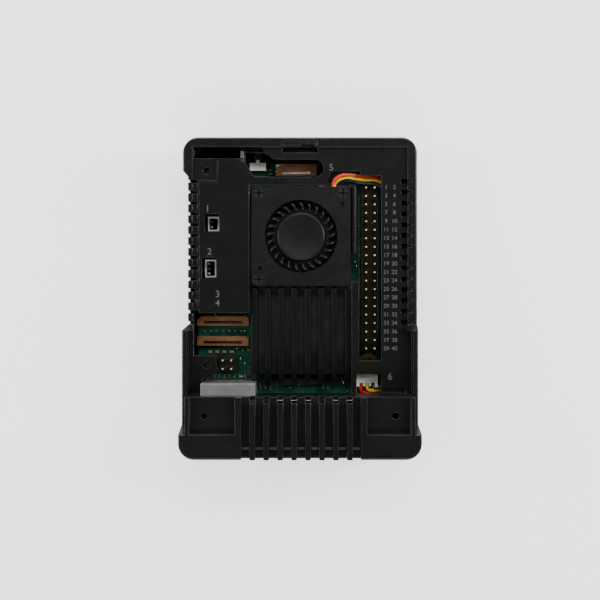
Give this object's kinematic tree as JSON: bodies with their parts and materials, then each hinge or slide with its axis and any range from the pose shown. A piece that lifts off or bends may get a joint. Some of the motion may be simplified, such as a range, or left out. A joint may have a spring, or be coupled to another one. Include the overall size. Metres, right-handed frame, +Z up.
{
  "type": "single board computer",
  "caption": "Small computer board with blower cooler, finned heat sink, pin header and ribbon sockets in a black case, its top cover lifted off.",
  "frame": {"origin": "below the middle of the case, on the surface that the feet stand on", "axes": "+X towards the pin header side, +Y towards the memory card end, +Z up out of the open top"},
  "size_m": [0.07, 0.0944, 0.027],
  "materials": {
    "case_plastic": "fine-grained satin black moulding",
    "foot_rubber": "matt black rubber",
    "screw_steel": "bright zinc plated steel",
    "clear_plastic": "translucent clear moulding",
    "board_laminate": "green solder mask over glass laminate",
    "plated_metal": "bright nickel plated sheet",
    "thermal_pad": "soft grey-blue silicone",
    "chip_black": "matt black epoxy",
    "black_anodised": "black anodised, fine blasted grain",
    "fan_plastic": "satin blue-black moulding",
    "copper_winding": "varnished copper wire",
    "bearing_bronze": "oiled sintered bronze",
    "magnet": "bonded ferrite ring",
    "white_plastic": "satin off-white moulding",
    "wire_red": "glossy red insulation",
    "wire_yellow": "glossy yellow insulation",
    "wire_black": "glossy black insulation",
    "connector_black": "satin black moulding",
    "gold_pins": "gold flashed contacts",
    "blue_plastic": "satin blue moulding",
    "latch_brown": "satin brown moulding",
    "led_lens": "diffused lens",
    "ferrite": "dark moulded ferrite",
    "ceramic": "tan ceramic with tinned ends"
  },
  "bodies": {
    "main_unit": {"upper_case": "case_plastic", "base_plate": "case_plastic", "rubber_feet": "foot_rubber", "case_screws": "screw_steel", "cover_catch": "case_plastic", "light_pipe": "clear_plastic", "circuit_board": "board_laminate", "processor_substrate": "board_laminate", "processor_lid": "plated_metal", "thermal_pad": "thermal_pad", "memory_chip": "chip_black", "io_controller": "chip_black", "power_chip": "chip_black", "wireless_can": "plated_metal", "heat_sink": "black_anodised", "fan_housing": "fan_plastic", "fan_lid": "fan_plastic", "fan_screws": "fan_plastic", "fan_stator": "copper_winding", "fan_bearing": "bearing_bronze", "fan_socket": "white_plastic", "fan_plug": "white_plastic", "fan_wire_red": "wire_red", "fan_wire_yellow": "wire_yellow", "fan_wire_black": "wire_black", "gpio_header": "connector_black", "gpio_pins": "gold_pins", "poe_header": "connector_black", "poe_pins": "gold_pins", "usb_c_shell": "plated_metal", "usb_c_tongue": "connector_black", "hdmi_shells": "plated_metal", "hdmi_tongues": "connector_black", "ethernet_shell": "plated_metal", "ethernet_insert": "connector_black", "ethernet_contacts": "gold_pins", "usb3_shell": "plated_metal", "usb3_insert": "blue_plastic", "usb2_shell": "plated_metal", "usb2_insert": "connector_black", "usb_contacts": "gold_pins", "camera_sockets": "white_plastic", "pcie_socket": "white_plastic", "rtc_socket": "white_plastic", "uart_socket": "white_plastic", "socket_pins": "gold_pins", "power_switch": "plated_metal", "status_led": "led_lens", "card_socket": "plated_metal", "inductors": "ferrite", "capacitors": "ceramic", "small_chips": "chip_black"},
    "fan_rotor": {"fan_impeller": "fan_plastic", "fan_shaft": "screw_steel", "fan_magnet": "magnet"},
    "case_button": {"power_button": "case_plastic"},
    "plunger": {"switch_plunger": "white_plastic"},
    "camera_latch_a": {"camera_latch_1": "latch_brown"},
    "camera_latch_b": {"camera_latch_0": "latch_brown"},
    "expansion_latch": {"pcie_latch": "latch_brown"}
  },
  "joints": [
    {"name": "fan_spin", "type": "hinge", "parent": "main_unit", "child": "fan_rotor", "pos_m": [0.0003, 0.0178, 0.0135], "axis": [0, 0, 1], "continuous": true},
    {"name": "power_press", "type": "slide", "parent": "main_unit", "child": "case_button", "axis": [0, -1, 0], "range_m": [0, 0.0003], "stiffness_N_per_m": 800},
    {"name": "plunger_press", "type": "slide", "parent": "main_unit", "child": "plunger", "axis": [0, -1, 0], "range_m": [0, 0.0003]},
    {"name": "camera_latch_a_lift", "type": "slide", "parent": "main_unit", "child": "camera_latch_a", "axis": [0, 0, 1], "range_m": [0, 0.0008]},
    {"name": "camera_latch_b_lift", "type": "slide", "parent": "main_unit", "child": "camera_latch_b", "axis": [0, 0, 1], "range_m": [0, 0.0008]},
    {"name": "expansion_latch_lift", "type": "slide", "parent": "main_unit", "child": "expansion_latch", "axis": [0, 0, 1], "range_m": [0, 0.0008]}
  ],
  "couplings": [
    {"joint": "plunger_press", "follows": "power_press", "ratio": 1}
  ]
}
